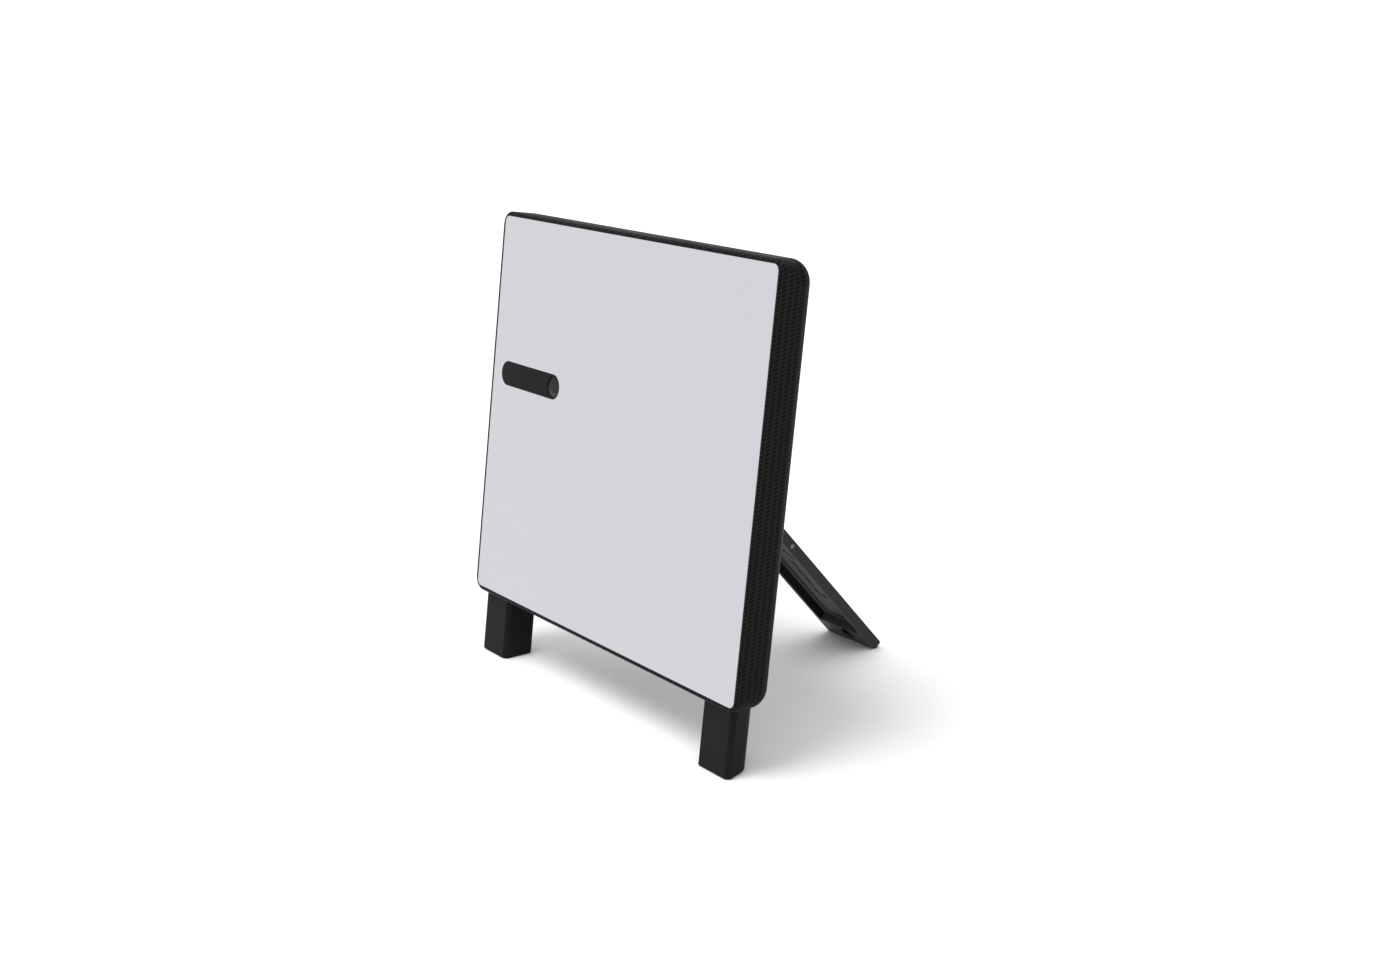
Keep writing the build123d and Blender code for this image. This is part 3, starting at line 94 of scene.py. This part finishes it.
class Look:
    # one material and the wires that make it
    def __init__(self, name):
        self.material = bpy.data.materials.new(name)
        self.material.use_nodes = True
        self.tree = self.material.node_tree
        self.tree.nodes.clear()
        self.place = self.node("TexCoord", output="Object")
        self.facing = self.node("TexCoord", output="Normal")

    def node(self, kind, settings=None, sockets=None, output=0):
        made = self.tree.nodes.new("ShaderNode" + kind)
        for key, value in (settings or {}).items():
            setattr(made, key, value)
        for key, value in (sockets or {}).items():
            if isinstance(value, Wire):
                self.tree.links.new(value.socket, made.inputs[key])
            else:
                made.inputs[key].default_value = value
        return Wire(self, made.outputs[output]) if made.outputs else None

    def unitFrame(self):
        # across, back and up in millimetres, turned with the leaning unit
        sockets = {"Vector": self.place, "Rotation": (lean, 0, 0), "Scale": (1000, 1000, 1000)}
        turned = self.node("Mapping", {"vector_type": "POINT"}, sockets)
        return [self.node("SeparateXYZ", None, {"Vector": turned}, output=axis) for axis in "XYZ"]

    def unitFacing(self):
        sockets = {"Vector": self.facing, "Rotation": (lean, 0, 0)}
        turned = self.node("Mapping", {"vector_type": "POINT"}, sockets)
        return [self.node("SeparateXYZ", None, {"Vector": turned}, output=axis) for axis in "XYZ"]

    def along(self, way, origin):
        # how far a point lies from the origin in one direction, in millimetres
        sockets = {0: self.place, 1: way * 1000}
        reach = self.node("VectorMath", {"operation": "DOT_PRODUCT"}, sockets, output=1)
        return reach - origin.dot(way) * 1000

    def towards(self, way):
        # 1 where a face looks in one direction, -1 where it looks away
        sockets = {0: self.facing, 1: way}
        return self.node("VectorMath", {"operation": "DOT_PRODUCT"}, sockets, output=1)

    def noise(self, scale, detail=2.0, roughness=0.5, stretch=None):
        vector = self.place
        if stretch:
            vector = self.node("Mapping", None, {"Vector": self.place, "Scale": stretch})
        sockets = {"Vector": vector, "Scale": scale, "Detail": detail, "Roughness": roughness}
        return self.node("TexNoise", None, sockets)

    def mix(self, factor, first, second):
        sockets = {0: factor, 6: first, 7: second}
        return self.node("Mix", {"data_type": "RGBA"}, sockets, output=2)

    def bump(self, height, distance, strength):
        return self.node("Bump", None, {"Height": height, "Distance": distance, "Strength": strength})

    def finish(self, colour, roughness, normal=None, **constants):
        sockets = {"Base Color": colour, "Roughness": roughness}
        if normal is not None:
            sockets["Normal"] = normal
        for key, value in constants.items():
            sockets[key.replace("_", " ")] = value
        shader = self.node("BsdfPrincipled", None, sockets)
        self.node("OutputMaterial", None, {"Surface": shader})
        return self.material


def grey(value, warm=0.0):
    return (value * (1 + warm), value, value * (1 - warm), 1.0)


# woven shell: tows that cross in a twill, with a dull finish
weave = {
    "columnPitch": 4.3, "rowPitch": 2.4, "slant": 0.85, "dark": (0.0015, 0.0015, 0.0015, 1),
    "light": (0.0160, 0.0157, 0.0153, 1), "relief": 0.00012, "panelEdgeShade": 0.65, "endHighlight": 1.35,
    "panelEdgeShadeReach": (0.5, 5.0), "sideRise": (0.10, 0.24), "sideFall": (0.76, 0.90), "tipRise": (0.06, 0.20),
    "tipFall": (0.62, 0.76), "roughness": (0.44, 0.54), "specular": 0.045,
}


def wovenLook():
    look = Look("wovenShell")
    across, depth, height = look.unitFrame()
    faceX, faceY, faceZ = [part.size() for part in look.unitFacing()]
    onSide = (faceX > faceY) * (faceX > faceZ)
    onEnd = (faceZ > faceY) * (1 - onSide)
    # columns run up the sides, the front and the back, and across the ends
    u = depth * onSide + across * (1 - onSide)
    v = height * (1 - onEnd) + depth * onEnd
    column = u / weave["columnPitch"]
    inColumn = column.fraction()
    oddColumn = (column.floor() * 0.5).fraction() * 2
    row = v / weave["rowPitch"] + oddColumn * 0.5 - (inColumn - 0.5) * weave["slant"]
    inRow = row.fraction()
    # dark hollows between the tows, slanted and one to a crossing
    hollowAcross = inColumn.ease(*weave["sideRise"]) * (1 - inColumn.ease(*weave["sideFall"]))
    hollowAlong = inRow.ease(*weave["tipRise"]) * (1 - inRow.ease(*weave["tipFall"]))
    pattern = 1 - hollowAcross * hollowAlong
    fibre = look.noise(1.0, 2.0, 0.6, stretch=(3000, 3000, 350))
    tone = pattern * (fibre * 0.5 + 0.75)
    # painted shade darker beside the panel, and painted light paler on the top and the bottom faces
    tone = tone * depth.ease(*weave["panelEdgeShadeReach"], weave["panelEdgeShade"], 1.0)
    tone = tone * (onEnd * (weave["endHighlight"] - 1) + 1)
    colour = look.mix(tone, weave["dark"], weave["light"])
    relief = look.bump(pattern, weave["relief"], 0.6)
    smear = look.noise(9.0, 3.0, 0.6)
    roughness = smear.ease(0.3, 0.7, *weave["roughness"])
    return look.finish(colour, roughness, relief, Specular_IOR_Level=weave["specular"])


# pale front panel
panelSettings = {
    "dark": (0.443, 0.447, 0.477, 1), "light": (0.454, 0.458, 0.488, 1), "roughness": (0.40, 0.46),
    "relief": 0.00001, "specular": 0.3,
}


def panelLook():
    look = Look("panelFace")
    cloud = look.noise(7.0, 3.0, 0.5)
    grain = look.noise(2600.0, 1.0, 0.5)
    colour = look.mix(cloud.ease(0.25, 0.75), panelSettings["dark"], panelSettings["light"])
    roughness = cloud.ease(0.3, 0.7, *panelSettings["roughness"])
    relief = look.bump(grain, panelSettings["relief"], 0.4)
    return look.finish(colour, roughness, relief, IOR=1.45, Specular_IOR_Level=panelSettings["specular"])


def mouldedLook(name, dark, light, roughLow, roughHigh, grainScale=1800.0, relief=0.00004, rub=0.2):
    # moulded plastic: a fine sparked grain, faint clouds and rubbed spots
    look = Look(name)
    grain = look.noise(grainScale, 2.0, 0.55)
    cloud = look.noise(24.0, 3.0, 0.6)
    rubbed = look.noise(70.0, 4.0, 0.65).ease(0.58, 0.75)
    colour = look.mix(cloud.ease(0.3, 0.7) * 0.8 + rubbed * rub, dark, light)
    roughness = cloud.ease(0.25, 0.75, roughLow, roughHigh) - rubbed * 0.05
    return look.finish(colour, roughness, look.bump(grain, relief, 0.5), Specular_IOR_Level=0.09)


# telescopic stand: its own directions, and tones of its faces; the inward floor, foot and end wall tones are
# painted light, the hollow, wall and grooves tones painted shade
standSettings = {
    "slope": 41.3, "hinge": (0, 19.6, 35.5), "channelFloor": 2.1, "channelHalf": 21.6, "footFace": -3.5,
    "side": 0.032, "floor": 0.080, "groove": 0.004, "shade": 0.014, "endWallLight": 0.075, "foot": 0.085,
    "recess": 0.012, "grooveHalf": 17.0, "grooveDeep": 1.2, "edge": 0.4, "slack": 0.1, "grooveStart": 0.05,
    "roughness": (0.46, 0.55),
    "relief": 0.00004, "specular": 0.07, "tint": (1.02, 0.99, 0.965, 1),
}
standHinge = unitPoint(*standSettings["hinge"])
standWay = backWay * cos(radians(standSettings["slope"])) - upWay * sin(radians(standSettings["slope"]))
standOut = backWay * sin(radians(standSettings["slope"])) + upWay * cos(radians(standSettings["slope"]))


def standLook():
    look = Look("standLegPlastic")
    across = look.along(rightWay, standHinge)
    out = look.along(standOut, standHinge)
    grain = look.noise(1800.0, 2.0, 0.55)
    cloud = look.noise(24.0, 3.0, 0.6)
    edge = standSettings["edge"]
    floorOut = standSettings["channelFloor"]
    inChannel = across.size() < standSettings["channelHalf"] + standSettings["slack"]
    # painted light and shade by facing: faces that look inwards are painted paler, the hollow in the foot and
    # the channel's side walls painted darker
    onInner = look.towards(-standOut) > 0.5
    onFoot = onInner * (out < standSettings["footFace"] + edge)
    onFloor = onInner * (out > floorOut - edge) * inChannel
    onRecess = (out > standSettings["footFace"] + edge) * (out < floorOut - edge) * onInner * inChannel
    onWall = inChannel * (look.towards(rightWay).size() > 0.5)
    onEndWall = inChannel * (look.towards(-standWay) > 0.5)
    # painted shade: every face inside the grooves is black
    inGroove = (out > floorOut + standSettings["grooveStart"]) * (out < floorOut + standSettings["grooveDeep"])
    inGroove = inGroove * (across.size() < standSettings["grooveHalf"])
    # painted light: the inward faces of the foot and the channel floor are paler
    tone = onFoot * (standSettings["foot"] - standSettings["side"]) + standSettings["side"]
    tone = tone + onFloor * (standSettings["floor"] - standSettings["side"])
    # painted shade: the hollow in the foot and the channel's side walls are darker
    tone = tone - onRecess * (standSettings["side"] - standSettings["recess"])
    tone = tone - onWall * (standSettings["side"] - standSettings["shade"])
    # painted light: the channel's end wall is paler
    tone = tone + onEndWall * (standSettings["endWallLight"] - standSettings["side"])
    # painted shade in the grooves
    tone = tone * (1 - inGroove) + inGroove * standSettings["groove"]
    tone = tone * cloud.ease(0.3, 0.7, 0.93, 1.07)
    colour = look.mix(tone, (0, 0, 0, 1), standSettings["tint"])
    roughness = cloud.ease(0.25, 0.75, *standSettings["roughness"])
    relief = look.bump(grain, standSettings["relief"], 0.5)
    return look.finish(colour, roughness, relief, Specular_IOR_Level=standSettings["specular"])


def metalLook(name, dark, light, rough, stretch=(40, 40, 1400)):
    look = Look(name)
    lines = look.noise(1.0, 2.0, 0.5, stretch=stretch)
    stain = look.noise(90.0, 3.0, 0.6)
    colour = look.mix(stain.ease(0.3, 0.75), dark, light)
    roughness = lines.ease(0.3, 0.7, rough - 0.06, rough + 0.08)
    return look.finish(colour, roughness, look.bump(lines, 0.00001, 0.4), Metallic=1.0)


# circuit boards: tracks that wander under the green lacquer
boardSettings = {
    "acrossPitch": 1.6, "upPitch": 1.9, "trackEdge": (0.42, 0.5), "dark": (0.010, 0.055, 0.028, 1),
    "light": (0.030, 0.13, 0.055, 1),
}


def boardLook():
    look = Look("circuitBoard")
    across, _, height = look.unitFrame()
    wanderAcross = look.noise(60.0, 0.0) * 6
    trackA = (across / boardSettings["acrossPitch"] + wanderAcross).fraction()
    wanderUp = look.noise(45.0, 0.0) * 5
    trackB = (height / boardSettings["upPitch"] + wanderUp).fraction()
    copper = trackA.ease(*boardSettings["trackEdge"]) * trackB.ease(*boardSettings["trackEdge"])
    colour = look.mix(copper * 0.6, boardSettings["dark"], boardSettings["light"])
    roughness = look.noise(30.0).ease(0.3, 0.7, 0.28, 0.4)
    return look.finish(colour, roughness, look.bump(copper, 0.00003, 0.5), IOR=1.5)


# smooth dark window
windowSettings = {
    "dark": (0.0068, 0.0066, 0.0066, 1), "light": (0.0093, 0.0091, 0.0091, 1), "roughness": (0.10, 0.17),
    "relief": 0.000005, "specular": 0.03,
}


def glossLook():
    look = Look("windowGloss")
    smear = look.noise(45.0, 3.0, 0.6)
    depthTone = look.noise(12.0, 2.0, 0.5)
    colour = look.mix(depthTone.ease(0.3, 0.7), windowSettings["dark"], windowSettings["light"])
    roughness = smear.ease(0.3, 0.75, *windowSettings["roughness"])
    relief = look.bump(smear, windowSettings["relief"], 0.3)
    return look.finish(colour, roughness, relief, Specular_IOR_Level=windowSettings["specular"])


def lensLook(name, tint, alpha):
    look = Look(name)
    ring = look.noise(160.0, 2.0, 0.5)
    colour = look.mix(ring.ease(0.3, 0.7), tint, tuple(c * 1.15 for c in tint[:3]) + (1,))
    return look.finish(colour, ring.ease(0.3, 0.7, 0.04, 0.09), None, IOR=1.52, Alpha=alpha)


# smoked cover of the camera: the barrel's lit wall behind it is painted on as light, a paler crescent low on
# the outer side
lensCover = {
    "shift": (0.9, 3.2), "inner": 6.4, "outer": 8.2, "dark": (0.016, 0.0152, 0.0146, 1),
    "light": (0.054, 0.0505, 0.048, 1), "roughness": (0.10, 0.16), "alpha": 0.93, "specular": 0.06,
}


def lensCoverLook():
    look = Look("lensCover")
    across, _, height = look.unitFrame()
    smear = look.noise(160.0, 2.0, 0.5)
    low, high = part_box("lens_cover")
    middle = (low + high) / 2
    offset = middle - panelCentre
    right = offset.dot(rightWay) * 1000 + lensCover["shift"][0]
    top = offset.dot(upWay) * 1000 + lensCover["shift"][1]
    origin = panelCentre * 1000
    x = across - (right + origin.dot(rightWay))
    y = height - (top + origin.dot(upWay))
    reach = look.node("Math", {"operation": "SQRT"}, {0: x * x + y * y})
    # painted light: the barrel's lit wall as a paler crescent
    paintedBarrelLight = reach.ease(lensCover["inner"], lensCover["outer"])
    colour = look.mix(paintedBarrelLight, lensCover["dark"], lensCover["light"])
    roughness = smear.ease(0.3, 0.7, *lensCover["roughness"])
    return look.finish(colour, roughness, None, Alpha=lensCover["alpha"],
                       Specular_IOR_Level=lensCover["specular"])


def rubberLook(name, tone, rough):
    look = Look(name)
    grain = look.noise(2200.0, 2.0, 0.6)
    dust = look.noise(130.0, 4.0, 0.65).ease(0.55, 0.75)
    colour = look.mix(dust * 0.5, grey(tone), grey(tone * 1.8, 0.02))
    return look.finish(colour, dust.ease(0, 1, rough, rough + 0.08), look.bump(grain, 0.00003, 0.5),
                       Specular_IOR_Level=0.15)


looks = {
    "woven": wovenLook(),
    "panel": panelLook(),
    "gloss": glossLook(),
    "lensCover": lensCoverLook(),
    "lensGlass": lensLook("lensGlass", (0.02, 0.025, 0.05, 1), 0.9),
    "seal": rubberLook("sealRubber", 0.003, 0.6),
    "tape": rubberLook("foamTape", 0.012, 0.85),
    "foot": rubberLook("footRubber", 0.010, 0.75),
    "leg": mouldedLook("legPlastic", grey(0.0048), grey(0.0070), 0.52, 0.60),
    "stand": standLook(),
    "arm": mouldedLook("armPlastic", grey(0.028, 0.03), grey(0.034, 0.03), 0.44, 0.54),
    "door": mouldedLook("doorPlastic", grey(0.013), grey(0.018), 0.50, 0.60, 1300.0, 0.00006),
    "inner": mouldedLook("innerPlastic", grey(0.010), grey(0.014), 0.55, 0.65),
    "button": mouldedLook("buttonPlastic", grey(0.022), grey(0.028), 0.40, 0.50),
    "battery": mouldedLook("batteryWrap", (0.012, 0.016, 0.026, 1), (0.018, 0.022, 0.034, 1), 0.35, 0.45),
    "nylon": mouldedLook("washerNylon", grey(0.42, 0.03), grey(0.5, 0.03), 0.45, 0.55),
    "board": boardLook(),
    "gold": metalLook("goldPlate", (0.78, 0.56, 0.22, 1), (0.86, 0.66, 0.32, 1), 0.28),
    "brass": metalLook("turnedBrass", (0.66, 0.5, 0.22, 1), (0.76, 0.6, 0.3, 1), 0.32),
    "steel": metalLook("zincSteel", (0.42, 0.42, 0.43, 1), (0.56, 0.56, 0.57, 1), 0.34),
    "shield": metalLook("tinnedShield", (0.55, 0.55, 0.54, 1), (0.66, 0.66, 0.65, 1), 0.36, (900, 60, 60)),
    "aluminium": metalLook("bareAluminium", (0.62, 0.62, 0.63, 1), (0.72, 0.72, 0.73, 1), 0.38,
                           (1200, 50, 50)),
    "pin": metalLook("groundPin", (0.13, 0.13, 0.132, 1), (0.17, 0.17, 0.172, 1), 0.40),
    "bracket": mouldedLook("coatedBracket", grey(0.014), grey(0.02), 0.38, 0.48),
    "lightGuide": lensLook("lightGuide", (0.42, 0.42, 0.42, 1), 1.0),
    "led": lensLook("ledBody", (0.5, 0.5, 0.42, 1), 1.0),
}
finishes = {
    "woven": "housing",
    "panel": "front_panel",
    "seal": "panel_seal",
    "tape": "panel_tape",
    "gloss": "camera_window",
    "lensCover": "lens_cover",
    "lensGlass": "camera_lens",
    "leg": "right_leg left_leg",
    "foot": "right_leg_pad left_leg_pad stand_pad",
    "stand": "stand_leg",
    "arm": "stand_arm",
    "door": "battery_door port_cover",
    "button": "power_button",
    "inner": "lens_holder lens_barrel right_leg_guide left_leg_guide link_connector battery_cradle "
             "power_jack button_switch",
    "battery": "battery_pack",
    "nylon": "stand_washers",
    "board": "camera_board antenna_board main_board side_board",
    "gold": "antenna_patches battery_contacts",
    "brass": "antenna_spacers board_spacers",
    "steel": "camera_screws chassis_screws antenna_screws board_screws guide_screws bracket_screws "
             "side_screws",
    "shield": "radar_shield processor_shield radio_module usb_socket",
    "aluminium": "chassis_plate",
    "pin": "stand_hinge_pin guide_pins door_pins cover_pins",
    "bracket": "stand_bracket",
    "lightGuide": "light_pipe",
    "led": "status_led",
}
for lookName, names in finishes.items():
    for nodeName in names.split():
        mesh = nodes[nodeName].data
        mesh.materials.clear()
        mesh.materials.append(looks[lookName])
dressed = set(" ".join(finishes.values()).split())
print("materials on", len(dressed), "nodes; left bare:", sorted(set(nodes) - dressed))

# floor, light and camera
floorSettings = {"size": 120.0, "tone": 0.86}
worldStrength = 0.67


def floorLook():
    look = Look("paleFloor")
    cloud = look.noise(1.2, 2.0, 0.5)
    tone = floorSettings["tone"]
    colour = look.mix(cloud.ease(0.3, 0.7), grey(tone), grey(tone * 1.01))
    return look.finish(colour, cloud.ease(0.3, 0.7, 0.75, 0.85), None, IOR=1.3)


floorForm = bmesh.new()
bmesh.ops.create_grid(floorForm, x_segments=2, y_segments=2, size=floorSettings["size"] / 2)
floorMesh = bpy.data.meshes.new("studioFloor")
floorForm.to_mesh(floorMesh)
floorForm.free()
floor = bpy.data.objects.new("studioFloor", floorMesh)
floor.data.materials.append(floorLook())
bpy.context.collection.objects.link(floor)

world = bpy.data.worlds.new("studio")
bpy.context.scene.world = world
world.use_nodes = True
world.node_tree.nodes["Background"].inputs["Color"].default_value = (1, 1, 1, 1)
world.node_tree.nodes["Background"].inputs["Strength"].default_value = worldStrength

# a broad key light from the front, high up, and a soft light on either side
lamps = {
    "keyLight": {"travel": (0.04, 0.50, -1.0), "strength": 1.95, "spread": 32},
    "leftLight": {"travel": (0.70, 0.10, -0.70), "strength": 0.86, "spread": 60},
    "rightLight": {"travel": (-0.70, 0.30, -0.65), "strength": 0.54, "spread": 60},
}
for lampName, lamp in lamps.items():
    lampData = bpy.data.lights.new(lampName, "SUN")
    lampData.energy = lamp["strength"]
    lampData.angle = radians(lamp["spread"])
    lampObject = bpy.data.objects.new(lampName, lampData)
    lampObject.rotation_mode = "QUATERNION"
    lampObject.rotation_quaternion = Vector(lamp["travel"]).to_track_quat("-Z", "Y")
    bpy.context.collection.objects.link(lampObject)

cameraView = {"offset": (0.98617, -0.62117, 0.28133), "look": (-0.79214, 0.55273, -0.25887),
              "up": (-0.20181, 0.16309, 0.96575), "lens": 49.69, "sensor": 36.0}
lookWay = Vector(cameraView["look"]).normalized()
sideWay = lookWay.cross(Vector(cameraView["up"])).normalized()
topWay = sideWay.cross(lookWay)
cameraData = bpy.data.cameras.new("viewCamera")
cameraData.lens = cameraView["lens"]
cameraData.sensor_width = cameraView["sensor"]
camera = bpy.data.objects.new("viewCamera", cameraData)
turn = Matrix((sideWay, topWay, -lookWay)).transposed().to_4x4()
camera.matrix_world = Matrix.Translation(panelCentre + Vector(cameraView["offset"])) @ turn
bpy.context.collection.objects.link(camera)
bpy.context.scene.camera = camera
bpy.context.scene.view_settings.view_transform = "Standard"
print("stage ready")
